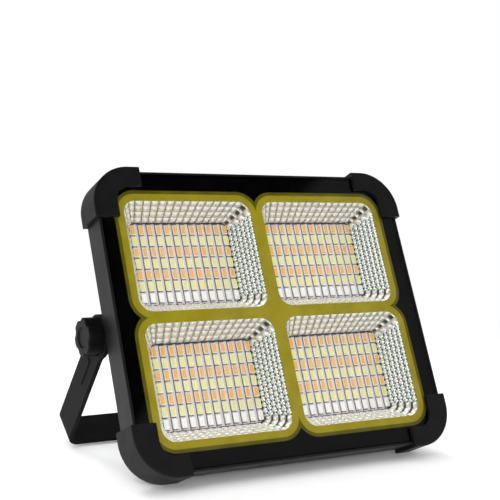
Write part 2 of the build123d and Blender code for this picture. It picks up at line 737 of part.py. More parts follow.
# ---- the bracket stands on the floor with the lower bumpers ----
lean = radians(tilt)
heel_round = bumper_heel_r * (cos(lean) + sin(lean) - 1)
heel_drop = (half_h + bumper_t) * cos(lean) + bumper_back * sin(lean) - heel_round
pivot_fall = pivot_drop * cos(lean) + pivot_depth * sin(lean)
strap_half = strap_w / 2
reach_angle = atan2(strap_half, stand_reach)
stand_open = tilt + degrees(reach_angle + acos((heel_drop - pivot_fall) / hypot(stand_reach, strap_half)))
parts["stand"] = Pos(0, pivot_depth, -pivot_drop) * Rot(stand_open, 0, 0) * stand()

# ---- tilt the head back and set the whole light down on the floor ----
placed = {name: Rot(-tilt, 0, 0) * shape for name, shape in parts.items()}
box = Compound(list(placed.values())).bounding_box()
ground = Pos(-(box.min.X + box.max.X) / 2, -(box.min.Y + box.max.Y) / 2, -box.min.Z)
os.makedirs("parts", exist_ok=True)
for name, shape in placed.items():
    export_step(ground * shape, f"parts/{name}.step")
print("nodes", len(placed), "bracket opened", round(stand_open, 2))
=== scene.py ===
import json
import math

import bpy
import numpy as np
from mathutils import Matrix, Vector


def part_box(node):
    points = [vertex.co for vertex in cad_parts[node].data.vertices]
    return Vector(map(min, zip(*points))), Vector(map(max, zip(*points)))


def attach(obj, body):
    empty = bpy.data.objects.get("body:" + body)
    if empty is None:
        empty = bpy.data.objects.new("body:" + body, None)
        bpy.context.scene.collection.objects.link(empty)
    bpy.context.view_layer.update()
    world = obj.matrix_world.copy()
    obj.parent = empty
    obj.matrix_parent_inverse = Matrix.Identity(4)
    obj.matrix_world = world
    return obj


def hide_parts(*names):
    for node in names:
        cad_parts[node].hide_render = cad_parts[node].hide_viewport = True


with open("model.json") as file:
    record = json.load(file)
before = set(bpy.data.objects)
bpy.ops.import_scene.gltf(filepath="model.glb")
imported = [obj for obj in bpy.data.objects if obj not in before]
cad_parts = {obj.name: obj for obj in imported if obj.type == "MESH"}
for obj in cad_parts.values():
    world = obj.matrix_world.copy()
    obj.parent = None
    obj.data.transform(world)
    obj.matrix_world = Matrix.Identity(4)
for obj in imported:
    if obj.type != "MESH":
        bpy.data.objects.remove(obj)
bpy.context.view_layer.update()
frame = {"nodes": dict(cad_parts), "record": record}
nodes = frame["nodes"]
print("frame loaded:", len(nodes), "nodes")

mm = 0.001

# the head leans back: its own axes are X across, Y into the depth and Z up the face,
# and they start at the middle of the pane's front
joints = {joint["name"]: joint for joint in frame["record"]["behaviour"]["joints"]}
glassFacts = {
    "halfH": 97.1, "cornerR": 23.1, "thick": 3.2, "printGap": 0.05, "edge": 0.2, "cornerSteps": 16,
}
faceNormal = Vector(joints["power_button_press"]["axis"])
glassLow, glassHigh = (Vector(corner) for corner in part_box("front_glass"))
headOrigin = (glassLow + glassHigh) / 2 + faceNormal * glassFacts["thick"] / 2 * mm
headAxes = Matrix((Vector((1, 0, 0)), -faceNormal, Vector((1, 0, 0)).cross(-faceNormal))).transposed()
headMatrix = Matrix.Translation(headOrigin) @ headAxes.to_4x4()


def hexToLinear(code):
    # an sRGB hex colour as the linear values that shaders take
    parts = [int(code[i:i + 2], 16) / 255 for i in (1, 3, 5)]
    return [p / 12.92 if p <= 0.04045 else ((p + 0.055) / 1.055) ** 2.4 for p in parts] + [1.0]


def addNode(tree, kind, inputs=None, **settings):
    # one node with its settings; an input is a number, a colour or another node's output
    node = tree.nodes.new(kind)
    for name, value in settings.items():
        setattr(node, name, value)
    for key, value in (inputs or {}).items():
        if isinstance(value, bpy.types.NodeSocket):
            tree.links.new(value, node.inputs[key])
        else:
            node.inputs[key].default_value = value
    return node


def startMaterial(name, sockets):
    # a Principled material with these values on its own sockets
    mat = bpy.data.materials.new(name)
    mat.use_nodes = True
    tree = mat.node_tree
    shader = tree.nodes["Principled BSDF"]
    for key, value in sockets.items():
        shader.inputs[key].default_value = value
    return mat, tree, shader


cameraFacts = {
    "azimuth": -31.763, "elevation": 6.068, "roll": 2.86, "distance": 0.78758,
    "aimHeight": 0.095, "aimRight": -0.00937, "aimUp": 0.04235, "lens": 82.833, "sensor": 36,
}
turn, rise, roll = (math.radians(cameraFacts[key]) for key in ("azimuth", "elevation", "roll"))
back = Vector((math.sin(turn) * math.cos(rise), -math.cos(turn) * math.cos(rise), math.sin(rise)))
right = Vector((math.cos(turn), math.sin(turn), 0))
up = back.cross(right)
aim = Vector((0, 0, cameraFacts["aimHeight"]))
aim = aim + right * cameraFacts["aimRight"] + up * cameraFacts["aimUp"]
camData = bpy.data.cameras.new("camera")
camData.lens = cameraFacts["lens"]
camData.sensor_width = cameraFacts["sensor"]
camera = bpy.data.objects.new("camera", camData)
bpy.context.scene.collection.objects.link(camera)
camAxes = Matrix((
    right * math.cos(roll) + up * math.sin(roll), up * math.cos(roll) - right * math.sin(roll), back
)).transposed()
camera.matrix_world = Matrix.Translation(aim + back * cameraFacts["distance"]) @ camAxes.to_4x4()
bpy.context.scene.camera = camera
bpy.context.scene.view_settings.view_transform = "Standard"
print("camera placed")

floorFacts = {
    "half": 4.0, "drop": 0.0004, "colour": "#f6f6f6", "light": "#fbfbfb", "bounce": "#8c8c8c",
    "mottleMm": 25, "fadeFrom": 0.24, "fadeTo": 0.6,
}


def makeFloor():
    # matt painted board near the light, running out to a plain white ground
    f = floorFacts
    half = f["half"]
    mesh = bpy.data.meshes.new("floor")
    corners = [(-half, -half, 0), (half, -half, 0), (half, half, 0), (-half, half, 0)]
    mesh.from_pydata(corners, [], [(0, 1, 2, 3)])
    floor = bpy.data.objects.new("floor", mesh)
    bpy.context.scene.collection.objects.link(floor)
    floor.location.z = -f["drop"]
    # emulsion rolled on board: dead flat white with a broad faint mottle
    mat, tree, shader = startMaterial("paintedBoard", {"Roughness": 0.9, "Specular IOR Level": 0.1})
    coords = addNode(tree, "ShaderNodeTexCoord")
    mottle = addNode(tree, "ShaderNodeTexNoise", {
        "Vector": coords.outputs["Object"], "Scale": 1 / (f["mottleMm"] * mm), "Detail": 3.0,
    })
    tint = addNode(tree, "ShaderNodeMix", {
        "Factor": mottle.outputs["Fac"], 6: hexToLinear(f["colour"]), 7: hexToLinear(f["light"]),
    }, data_type="RGBA")
    # the board throws less light back up than it shows, so the underside stays dark
    path = addNode(tree, "ShaderNodeLightPath")
    thrown = addNode(tree, "ShaderNodeMix", {
        0: path.outputs["Is Diffuse Ray"], 6: tint.outputs[2], 7: hexToLinear(f["bounce"]),
    }, data_type="RGBA")
    tree.links.new(thrown.outputs[2], shader.inputs["Base Color"])
    away = addNode(tree, "ShaderNodeVectorMath", {0: coords.outputs["Object"]}, operation="LENGTH")
    fade = addNode(tree, "ShaderNodeMapRange", {
        "Value": away.outputs["Value"], "From Min": f["fadeFrom"], "From Max": f["fadeTo"],
    }, interpolation_type="SMOOTHSTEP")
    # the white ground is for what is seen, mirrored or seen through glass, and lights nothing
    seen = addNode(tree, "ShaderNodeMath", {
        0: path.outputs["Is Camera Ray"], 1: path.outputs["Is Glossy Ray"],
    }, operation="MAXIMUM")
    seen = addNode(tree, "ShaderNodeMath", {
        0: seen.outputs[0], 1: path.outputs["Is Transmission Ray"],
    }, operation="MAXIMUM")
    share = addNode(tree, "ShaderNodeMath", {
        0: seen.outputs[0], 1: fade.outputs["Result"],
    }, operation="MULTIPLY")
    ground = addNode(tree, "ShaderNodeEmission", {"Color": (1, 1, 1, 1), "Strength": 1.0})
    both = addNode(tree, "ShaderNodeMixShader", {
        0: share.outputs[0], 1: shader.outputs[0], 2: ground.outputs[0],
    })
    tree.links.new(both.outputs[0], tree.nodes["Material Output"].inputs["Surface"])
    mesh.materials.append(mat)


# what the glass mirrors: a dark flag to the upper left and a dim card beyond its straight edge;
# edges and heights are parts of a unit direction, levels are strengths, and inside is behind glass
roomFacts = {
    "horizonFrom": 0.10, "horizonTo": 0.40, "cardLevel": 0.16,
    "flagEdge": (0.6734, -0.1501, -0.7239), "flagSoft": 0.006, "frontFrom": -0.30, "frontTo": -0.10,
    "insideUpper": 1.1, "insideFlag": 0.1,
    "hoodAt": (0.532, -0.624, 0.572), "hoodFull": 0.965, "hoodNone": 0.90, "hoodLevel": 0.04,
    "boxes": 5.0, "boxTurn": 0.6, "gapFrom": -0.9, "gapTo": -0.3, "gapLevel": 0.2,
    "clothLevel": 2.2, "clothAfterBounce": 4.5,
    "ambient": 0.85, "insideAmbient": 2.15, "insideAfterScatter": 0.5,
}


def makeRoom():
    # white walls low down and dim ones above; the lamps themselves aren't seen in it
    f = roomFacts
    world = bpy.data.worlds.new("studio")
    bpy.context.scene.world = world
    world.use_nodes = True
    tree = world.node_tree
    tree.nodes.clear()
    coords = addNode(tree, "ShaderNodeTexCoord")
    parts = addNode(tree, "ShaderNodeSeparateXYZ", {0: coords.outputs["Generated"]})
    wall = addNode(tree, "ShaderNodeMapRange", {
        "Value": parts.outputs["Z"], "From Min": f["horizonFrom"], "From Max": f["horizonTo"],
        "To Min": 1.0, "To Max": 0.0,
    }, interpolation_type="SMOOTHSTEP")
    side = addNode(tree, "ShaderNodeVectorMath", {
        0: coords.outputs["Generated"], 1: f["flagEdge"],
    }, operation="DOT_PRODUCT")
    lit = addNode(tree, "ShaderNodeMapRange", {
        "Value": side.outputs["Value"], "From Min": -f["flagSoft"], "From Max": f["flagSoft"],
    })
    behind = addNode(tree, "ShaderNodeMapRange", {
        "Value": parts.outputs["Y"], "From Min": f["frontFrom"], "From Max": f["frontTo"],
    }, interpolation_type="SMOOTHSTEP")
    clear = addNode(tree, "ShaderNodeMath", {
        0: lit.outputs["Result"], 1: behind.outputs["Result"],
    }, operation="MAXIMUM")
    card = addNode(tree, "ShaderNodeMath", {
        0: clear.outputs[0], 1: f["cardLevel"],
    }, operation="MULTIPLY")
    inside = addNode(tree, "ShaderNodeMix", {
        0: clear.outputs[0], 2: f["insideFlag"], 3: f["insideUpper"],
    }, data_type="FLOAT")
    # a dim hood stands where the back of the pane would mirror, since ink wets it and kills that
    ahead = addNode(tree, "ShaderNodeVectorMath", {
        0: coords.outputs["Generated"], 1: f["hoodAt"],
    }, operation="DOT_PRODUCT")
    hood = addNode(tree, "ShaderNodeMapRange", {
        "Value": ahead.outputs["Value"], "From Min": f["hoodNone"], "From Max": f["hoodFull"],
        "To Min": 1.0, "To Max": f["hoodLevel"],
    }, interpolation_type="SMOOTHSTEP")
    inside = addNode(tree, "ShaderNodeMath", {
        0: inside.outputs[0], 1: hood.outputs["Result"],
    }, operation="MULTIPLY")
    path = addNode(tree, "ShaderNodeLightPath")
    upper = addNode(tree, "ShaderNodeMix", {
        0: path.outputs["Is Transmission Ray"], 2: card.outputs[0], 3: inside.outputs[0],
    }, data_type="FLOAT")
    # between the white boxes round the room are dark gaps, which draw the facets of the cups
    bearing = addNode(tree, "ShaderNodeMath", {
        0: parts.outputs["X"], 1: parts.outputs["Y"],
    }, operation="ARCTAN2")
    wave = addNode(tree, "ShaderNodeMath", {
        0: bearing.outputs[0], 1: f["boxes"], 2: f["boxTurn"],
    }, operation="MULTIPLY_ADD")
    wave = addNode(tree, "ShaderNodeMath", {0: wave.outputs[0]}, operation="SINE")
    box = addNode(tree, "ShaderNodeMapRange", {
        "Value": wave.outputs[0], "From Min": f["gapFrom"], "From Max": f["gapTo"],
        "To Min": f["gapLevel"], "To Max": 1.0,
    }, interpolation_type="SMOOTHSTEP")
    around = addNode(tree, "ShaderNodeMix", {
        0: path.outputs["Is Transmission Ray"], 2: 1.0, 3: box.outputs["Result"],
    }, data_type="FLOAT")
    level = addNode(tree, "ShaderNodeMix", {
        0: wall.outputs["Result"], 2: upper.outputs[0], 3: around.outputs[0],
    }, data_type="FLOAT")
    # the facets behind the pane mirror more than a white wall: they find the lamps' bright cloths
    deep = addNode(tree, "ShaderNodeMath", {
        0: path.outputs["Ray Depth"], 1: f["clothAfterBounce"],
    }, operation="GREATER_THAN")
    cloth = addNode(tree, "ShaderNodeMix", {
        0: deep.outputs[0], 2: 1.0, 3: f["clothLevel"],
    }, data_type="FLOAT")
    level = addNode(tree, "ShaderNodeMath", {
        0: level.outputs[0], 1: cloth.outputs[0],
    }, operation="MULTIPLY")
    # what gets in through the pane and scatters there meets plain even light
    scattered = addNode(tree, "ShaderNodeMath", {
        0: path.outputs["Diffuse Depth"], 1: f["insideAfterScatter"],
    }, operation="GREATER_THAN")
    level = addNode(tree, "ShaderNodeMix", {
        0: scattered.outputs[0], 2: level.outputs[0], 3: f["insideAmbient"],
    }, data_type="FLOAT")
    # gloss and glass meet those walls, other surfaces an even light, and the eye plain white
    mirrored = addNode(tree, "ShaderNodeMath", {
        0: path.outputs["Is Glossy Ray"], 1: path.outputs["Is Transmission Ray"],
    }, operation="MAXIMUM")
    strength = addNode(tree, "ShaderNodeMix", {
        0: mirrored.outputs[0], 2: f["ambient"], 3: level.outputs[0],
    }, data_type="FLOAT")
    strength = addNode(tree, "ShaderNodeMix", {
        0: path.outputs["Is Camera Ray"], 2: strength.outputs[0], 3: 1.0,
    }, data_type="FLOAT")
    sky = addNode(tree, "ShaderNodeBackground", {
        "Color": (1, 1, 1, 1), "Strength": strength.outputs[0],
    })
    addNode(tree, "ShaderNodeOutputWorld", {"Surface": sky.outputs[0]})


# square soft boxes, all turned towards a point in the middle of the head; metres and watts
lampAim = Vector((0, 0, 0.09))
lampFacts = {
    "key": {"place": (-1.1, -0.9, 1.2), "size": 0.7, "power": 5.0},
    "low": {"place": (-0.4, -1.3, 0.48), "size": 0.6, "power": 7.9},
    "side": {"place": (1.3, -0.4, 0.9), "size": 0.8, "power": 5.6},
    "rear": {"place": (-0.2, 1.5, 1.1), "size": 0.9, "power": 23.0},
}


def addLamp(name, facts):
    data = bpy.data.lights.new(name, "AREA")
    data.size = facts["size"]
    data.energy = facts["power"]
    lamp = bpy.data.objects.new(name, data)
    bpy.context.scene.collection.objects.link(lamp)
    lamp.location = facts["place"]
    # gloss and glass show the room, not the lamps
    lamp.visible_glossy = False
    lamp.visible_transmission = False
    lamp.rotation_euler = (lampAim - lamp.location).to_track_quat("-Z", "Y").to_euler()


makeFloor()
makeRoom()
for lampName, facts in lampFacts.items():
    addLamp(lampName, facts)
print("floor, room and lamps made")

# grain and streak sizes are the real ones times about three where they would be too fine to show;
# noise seldom leaves the middle of its range, so these parts of it stand for the whole
tintSpan = (0.35, 0.65)
glossSpan = (0.3, 0.7)


def addSurface(tree, shader, look, shade, pattern, height):
    # colour between the two shades, roughness either side of its own value, and a fine relief
    tint = addNode(tree, "ShaderNodeMix", {
        "Factor": shade, 6: hexToLinear(look["dark"]), 7: hexToLinear(look["light"]),
    }, data_type="RGBA")
    tree.links.new(tint.outputs[2], shader.inputs["Base Color"])
    gloss = addNode(tree, "ShaderNodeMapRange", {
        "Value": pattern, "From Min": glossSpan[0], "From Max": glossSpan[1],
        "To Min": look["roughness"] - look["glossRange"],
        "To Max": look["roughness"] + look["glossRange"],
    })
    tree.links.new(gloss.outputs["Result"], shader.inputs["Roughness"])
    relief = addNode(tree, "ShaderNodeBump", {
        "Height": height, "Strength": look["relief"], "Distance": look["reliefMm"] * mm,
    })
    tree.links.new(relief.outputs["Normal"], shader.inputs["Normal"])


def makePlastic(look):
    # moulded or coated surface: one gloss all over, broken by a fine even grain from the tool
    mat, tree, shader = startMaterial(look["name"], {
        "Roughness": look["roughness"], "IOR": look["ior"], "Specular IOR Level": look["specular"],
    })
    coords = addNode(tree, "ShaderNodeTexCoord")
    patches = addNode(tree, "ShaderNodeTexNoise", {
        "Vector": coords.outputs["Object"], "Scale": 1 / (look["patchMm"] * mm), "Detail": 4.0,
        "Roughness": 0.6,
    })
    spread = addNode(tree, "ShaderNodeMapRange", {
        "Value": patches.outputs["Fac"], "From Min": tintSpan[0], "From Max": tintSpan[1],
    })
    grain = addNode(tree, "ShaderNodeTexNoise", {
        "Vector": coords.outputs["Object"], "Scale": 1 / (look["grainMm"] * mm),
    })
    addSurface(tree, shader, look, spread.outputs["Result"], patches.outputs["Fac"],
               grain.outputs["Fac"])
    return mat


def makeMetal(look):
    # bare or plated metal: colour in the mirror image, streaks from rolling, drawing or turning
    mat, tree, shader = startMaterial(look["name"], {
        "Metallic": look["metallic"], "Roughness": look["roughness"],
        "Base Color": hexToLinear(look["light"]),
    })
    coords = addNode(tree, "ShaderNodeTexCoord")
    stretch = addNode(tree, "ShaderNodeMapping", {
        "Vector": coords.outputs["Object"], "Scale": look["stretch"],
    })
    streaks = addNode(tree, "ShaderNodeTexNoise", {
        "Vector": stretch.outputs["Vector"], "Scale": 1 / (look["streakMm"] * mm), "Detail": 3.0,
    })
    streak = streaks.outputs["Fac"]
    addSurface(tree, shader, look, streak, streak, streak)
    return mat


def makeClear(look):
    # clear sheet or lens: lamps reach through it, and its own faint waviness shows in what it mirrors
    mat, tree, shader = startMaterial(look["name"], {
        "Base Color": hexToLinear(look["light"]), "Roughness": look["roughness"], "IOR": look["ior"],
        "Transmission Weight": 1.0,
    })
    coords = addNode(tree, "ShaderNodeTexCoord")
    waves = addNode(tree, "ShaderNodeTexNoise", {
        "Vector": coords.outputs["Object"], "Scale": 1 / (look["waveMm"] * mm), "Detail": 1.0,
    })
    relief = addNode(tree, "ShaderNodeBump", {
        "Height": waves.outputs["Fac"], "Strength": look["relief"], "Distance": look["reliefMm"] * mm,
    })
    tree.links.new(relief.outputs["Normal"], shader.inputs["Normal"])
    through = addNode(tree, "ShaderNodeBsdfTransparent", {"Color": hexToLinear(look["light"])})
    path = addNode(tree, "ShaderNodeLightPath")
    both = addNode(tree, "ShaderNodeMixShader", {
        0: path.outputs["Is Shadow Ray"], 1: shader.outputs[0], 2: through.outputs[0],
    })
    tree.links.new(both.outputs[0], tree.nodes["Material Output"].inputs["Surface"])
    return mat


plasticBase = {
    "ior": 1.5, "specular": 0.4, "roughness": 0.5, "glossRange": 0.05, "patchMm": 14, "grainMm": 1.0,
    "relief": 0.35, "reliefMm": 0.03,
}
metalBase = {
    "metallic": 1.0, "roughness": 0.3, "glossRange": 0.08, "streakMm": 2.0, "stretch": (1, 1, 1),
    "relief": 0.3, "reliefMm": 0.01,
}
clearBase = {"ior": 1.5, "roughness": 0.0, "waveMm": 60, "relief": 0.05, "reliefMm": 0.02}
inkBase = {"specular": 0.0, "roughness": 0.4, "grainMm": 0.8, "relief": 0.05}
gelBase = {"roughness": 0.3, "patchMm": 6}
platingBase = {"glossRange": 0.03, "streakMm": 5.0, "relief": 0.1}
finishes = {
    # ABS from a spark-eroded tool: an even matt grain of about 0.3 mm, soft broad highlights
    "black_abs": (makePlastic, {
        "name": "sparkErodedAbs", "dark": "#121213", "light": "#181819", "roughness": 0.44,
        "ior": 1.54, "specular": 0.18,
    }),
    # soft overmoulding rubber: duller than the case, slightly greyer where handled
    "bumper_rubber": (makePlastic, {
        "name": "mouldedTprRubber", "dark": "#0c0c0d", "light": "#111112", "roughness": 0.58,
        "ior": 1.52, "specular": 0.24, "patchMm": 9,
    }),
    # moulded silicone cord: dark grey, smooth, with a satin gloss
    "seal_silicone": (makePlastic, {
        "name": "mouldedSilicone", "dark": "#2c2c2c", "light": "#343434",
    }),
    # enamel inks fired on the back of the pane: flat colour, faint mesh mottle
    "print_black": (makePlastic, {
        **inkBase, "name": "screenInkBlack", "dark": "#030303", "light": "#050505",
    }),
    "print_olive": (makePlastic, {
        **inkBase, "name": "screenInkOlive", "dark": "#4a4510", "light": "#544f14",
    }),
    "print_yellow": (makePlastic, {
        **inkBase, "name": "screenInkYellow", "dark": "#807519", "light": "#8a7e1f",
    }),
    # aluminium deposited on moulded ABS in a vacuum and lacquered: bright, with a slight haze
    "mirror_plating": (makeMetal, {
        **platingBase, "name": "vacuumPlatedAbs", "dark": "#e8e5e0", "light": "#f7f5f1",
        "roughness": 0.18, "metallic": 0.72,
    }),
    # white epoxy solder mask: thick, smooth, half glossy
    "board_white": (makePlastic, {
        "name": "whiteSolderMask", "dark": "#cbc7d2", "light": "#d8d5dd", "roughness": 0.35,
        "patchMm": 5,
    }),
    # silicone dosed over the dies, tinted by its phosphor: milky and wet-looking
    "led_warm": (makePlastic, {
        **gelBase, "name": "amberPhosphorGel", "dark": "#e3c284", "light": "#e9cc92",
    }),
    "led_yellow": (makePlastic, {
        **gelBase, "name": "lemonPhosphorGel", "dark": "#dedaa0", "light": "#e4e0ae",
    }),
    "led_white": (makePlastic, {
        **gelBase, "name": "clearSiliconeGel", "dark": "#d3d3d3", "light": "#dddddd",
        "roughness": 0.25,
    }),
    # mill-finish aluminium: pale grey with fine streaks along the rolling direction
    "aluminium_sheet": (makeMetal, {
        "name": "rolledAluminium", "dark": "#c3c6ca", "light": "#dadcdf", "stretch": (0.05, 1, 1),
    }),
    # PVC sleeve shrunk over the cells: taut blue film, shinier than the plastics
    "cell_wrap": (makePlastic, {
        "name": "heatShrinkFilm", "dark": "#1d4f86", "light": "#23609c", "roughness": 0.28,
    }),
    # moulded ABS out of sight: plain, slightly greyer than the case
    "tray_abs": (makePlastic, {"name": "mouldedTrayAbs", "dark": "#1f1f1f", "light": "#272727"}),
    # green solder mask over copper: deep colour, half glossy
    "board_green": (makePlastic, {
        "name": "greenSolderMask", "dark": "#12502a", "light": "#186334", "roughness": 0.35,
    }),
    # bright nickel on pressed steel: warm grey, mirrors softly
    "nickel_steel": (makeMetal, {
        "name": "nickelPlatedSteel", "dark": "#b9b7b1", "light": "#d2d0ca", "roughness": 0.22,
    }),
    # nylon switch body as moulded: dull near-black
    "switch_black": (makePlastic, {
        "name": "mouldedSwitchNylon", "dark": "#1a1a1a", "light": "#222222",
    }),
    # polyester film behind the cells: flat chalky white
    "backsheet_white": (makePlastic, {
        "name": "whiteBacksheet", "dark": "#cfd1d3", "light": "#dadcde",
    }),
    # cast silicon under its blue coat: dark, smooth, fairly glossy
    "silicon_cell": (makePlastic, {
        "name": "polySilicon", "dark": "#101a38", "light": "#1a2a56", "roughness": 0.25,
    }),
    # clear film pressed on the cells: slight orange peel
    "solar_laminate": (makeClear, {
        "name": "clearLaminate", "light": "#f2f7fa", "roughness": 0.03, "ior": 1.49, "waveMm": 2.0,
        "relief": 0.25,
    }),
    # float glass, heat-toughened: a flat mirror with a very long shallow wave
    "tempered_glass": (makeClear, {"name": "temperedGlass", "light": "#fcfdfb"}),
    # moulded acrylic: clear, its mirror image a little soft
    "lens_clear": (makeClear, {
        "name": "clearAcrylicLens", "light": "#eef3f3", "roughness": 0.08, "ior": 1.49,
    }),
    # black passivated zinc on steel: charcoal metal, half matt
    "screw_steel": (makeMetal, {
        "name": "blackZincSteel", "dark": "#333335", "light": "#4a4a4c", "roughness": 0.38,
    }),
    # brass turned from bar: warm yellow, lightly streaked
    "brass_insert": (makeMetal, {"name": "turnedBrass", "dark": "#bf9a4e", "light": "#d9b566"}),
    # moulded nylon washers: dull near-black
    "washer_nylon": (makePlastic, {"name": "blackNylon", "dark": "#1b1b1b", "light": "#232323"}),
    # rubber of the port flap and of the button cap, as moulded: matt black, no sharp highlight
    "flap_rubber": (makePlastic, {
        "name": "mouldedFlapRubber", "dark": "#101011", "light": "#161617", "roughness": 0.6,
        "ior": 1.52,
    }),
    "button_rubber": (makePlastic, {
        "name": "mouldedButtonRubber", "dark": "#131314", "light": "#19191a", "roughness": 0.55,
        "ior": 1.52,
    }),
    # moulded nylon full of glass fibre: the fibres break up the skin, so it hardly shines
    "knob_plastic": (makePlastic, {
        "name": "glassFilledNylon", "dark": "#0c0c0d", "light": "#111112", "ior": 1.53,
        "specular": 0.12,
    }),
    # bright zinc on steel: cool light grey, half matt
    "stud_steel": (makeMetal, {"name": "zincPlatedSteel", "dark": "#aeb0b2", "light": "#c9cacb"}),
    # polyester powder baked on steel strap: even film with a little orange peel, 1 to 2 mm across
    "painted_steel": (makePlastic, {
        "name": "powderCoatedSteel", "dark": "#1b1b1c", "light": "#212122", "roughness": 0.6,
        "specular": 0.06, "grainMm": 1.6, "relief": 0.3,
    }),
}
bases = {makePlastic: plasticBase, makeMetal: metalBase, makeClear: clearBase}
paints = {name: maker({**bases[maker], **look}) for name, (maker, look) in finishes.items()}
slotOf = {part["node"]: part["material_slot"] for part in frame["record"]["subparts"]}
for nodeName, obj in nodes.items():
    if not obj.material_slots:
        obj.data.materials.append(None)
    for place in obj.material_slots:
        place.material = paints[slotOf[nodeName]]
print("finishes made:", len(paints))


# every mesh below is in millimetres, in the head's own axes
def addPiece(
    name, verts, faces, mats, stands=(), kinds=None, at=(0, 0, 0), body="head", crease=35
):
    mesh = bpy.data.meshes.new(name)
    mesh.from_pydata((np.asarray(verts, dtype=float) * mm).tolist(), [], faces)
    for mat in mats:
        mesh.materials.append(mat)
    if kinds is not None:
        mesh.polygons.foreach_set("material_index", kinds)
    mesh.shade_smooth()
    mesh.set_sharp_from_angle(angle=math.radians(crease))
    mesh.update()
    obj = bpy.data.objects.new(name, mesh)
    bpy.context.scene.collection.objects.link(obj)
    obj.matrix_world = headMatrix @ Matrix.Translation(Vector(at) * mm)
    bpy.context.view_layer.update()
    # the body that carries the piece, its slot and the CAD nodes that it stands for
    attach(obj, body)
    if stands:
        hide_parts(*stands)


cornerSigns = ((1, 1), (-1, 1), (-1, -1), (1, -1))


def onArc(corner, angle, halfW, halfH, r):
    # a point on one round corner of a rectangle, the first being the upper right one from the front
    sx, sz = cornerSigns[corner % 4]
    return sx * (halfW - r) + r * math.cos(angle), sz * (halfH - r) + r * math.sin(angle)


def roundedLoop(halfW, halfH, r, steps=8):
    # a rectangle with round corners, anticlockwise as seen from the front
    return [onArc(k, math.pi / 2 * (k + n / steps), halfW, halfH, r)
            for k in range(4) for n in range(steps + 1)]


def nestedLoops(levels, halfW, halfH, r, leastR, steps):
    # one rounded rectangle for each depth, drawn in by its inset
    loops = []
    for depth, inset in levels:
        outline = roundedLoop(halfW - inset, halfH - inset, max(r - inset, leastR), steps)
        loops.append([(x, depth, z) for x, z in outline])
    return loops


def loft(loops, flip=False):
    # closed skin through loops of the same number of points, with flat ends
    count = len(loops[0])
    verts = [point for loop in loops for point in loop]
    faces = []
    for k in range(len(loops) - 1):
        for n in range(count):
            m = (n + 1) % count
            a, b = k * count, (k + 1) * count
            faces.append((a + n, b + n, b + m, a + m))
    faces.append(tuple(range(count)))
    faces.append(tuple(reversed(range(len(verts) - count, len(verts)))))
    if flip:
        faces = [tuple(reversed(face)) for face in faces]
    return verts, faces


def slab(halfW, halfH, r, front, back, edge, steps=8, leastR=0.05):
    # rounded plate between two depths, its edges taken off at 45 degrees
    levels = ((front, edge), (front + edge, 0), (back - edge, 0), (back, edge))
    return loft(nestedLoops(levels, halfW, halfH, r, leastR, steps))


def block(x0, x1, y0, y1, z0, z1):
    # a plain bar between these limits, for leads, ribbons, tongues and contacts
    verts = [(x, y, z) for y in (y0, y1) for x, z in ((x0, z0), (x1, z0), (x1, z1), (x0, z1))]
    faces = [(0, 1, 2, 3), (7, 6, 5, 4), (1, 0, 4, 5), (2, 1, 5, 6), (3, 2, 6, 7), (0, 3, 7, 4)]
    return verts, faces


def joined(parts):
    # several (verts, faces, kind) sets as one
    verts, faces, kinds = [], [], []
    for partVerts, partFaces, kind in parts:
        base = len(verts)
        verts += [tuple(v) for v in partVerts]
        faces += [tuple(base + i for i in face) for face in partFaces]
        kinds += kind if isinstance(kind, list) else [kind] * len(partFaces)
    return verts, faces, kinds


def moved(verts, dx, dy, dz):
    return [(x + dx, y + dy, z + dz) for x, y, z in verts]


def makeGlass():
    f = glassFacts
    halfW = (glassHigh.x - glassLow.x) / 2 / mm
    verts, faces = slab(halfW, f["halfH"], f["cornerR"], 0, f["thick"] - f["printGap"], f["edge"],
                        f["cornerSteps"])
    # black sealant holds the pane all round, so its ground edge shows black
    kinds = [1] * (len(faces) - 2) + [0, 0]
    mats = [paints["tempered_glass"], paints["print_black"]]
    addPiece("glass_pane", verts, faces, mats, ["front_glass"], kinds=kinds)


makeGlass()
print("glass made")


def headCentre(node):
    # middle of a CAD node, in the head's axes, in millimetres
    low, high = (Vector(corner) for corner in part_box(node))
    return headMatrix.inverted() @ ((low + high) / 2) / mm


cornerNames = ("top_left", "top_right", "bottom_left", "bottom_right")
boardSpots = {name: headCentre("led_board_" + name) for name in cornerNames}
boardFacts = {"thick": 1.6, "halfW": 39.8, "halfH": 31.3, "cornerR": 2.0, "edge": 0.1}
boardFace = boardSpots["top_left"].y - boardFacts["thick"] / 2

# reflector cups: bricks on the top and bottom walls and in the corners, domes on the side walls
cupFacts = {
    "mouthHalfW": 48.0, "mouthHalfH": 38.0, "mouthR": 9.6, "floorHalfW": 37.2, "floorHalfH": 28.75,
    "floorR": 4.2, "mouthDepth": 3.55, "floorGap": 0.35, "wall": 0.8, "crease": 24,
    "levelCells": 13, "levelRows": 4, "sideCells": 13, "sideRows": 6, "cornerCells": 3,
    "alongSteps": 8, "downSteps": 36, "brickRise": 0.95, "brickCurve": 2.0, "grooveShare": 0.13,
    "domeRise": 0.55, "domeReach": 0.52, "domeGap": 0.46, "rowPacking": 0.87,
    "darkCell": 1, "darkHalfAlong": 0.32, "darkHalfDown": 0.3, "darkFrom": 0.7,
}
# a darker, duller copy of the plating in the grooves between the facets: painted shade along one side
# of every brick
grooveShadeMetal = makeMetal({
    **metalBase, "name": "grooveShadePlating", "dark": "#a39885", "light": "#b5aa98", "roughness": 0.4,
    "metallic": 0.75,
})
# a dark copy of the plating: painted dark reflection and shade in the gaps between the domes and on
# marks in two corners
darkReflectionMetal = makeMetal({
    **metalBase, "name": "paintedDarkReflectionPlating", "dark": "#424846", "light": "#525957", "roughness": 0.4,
})
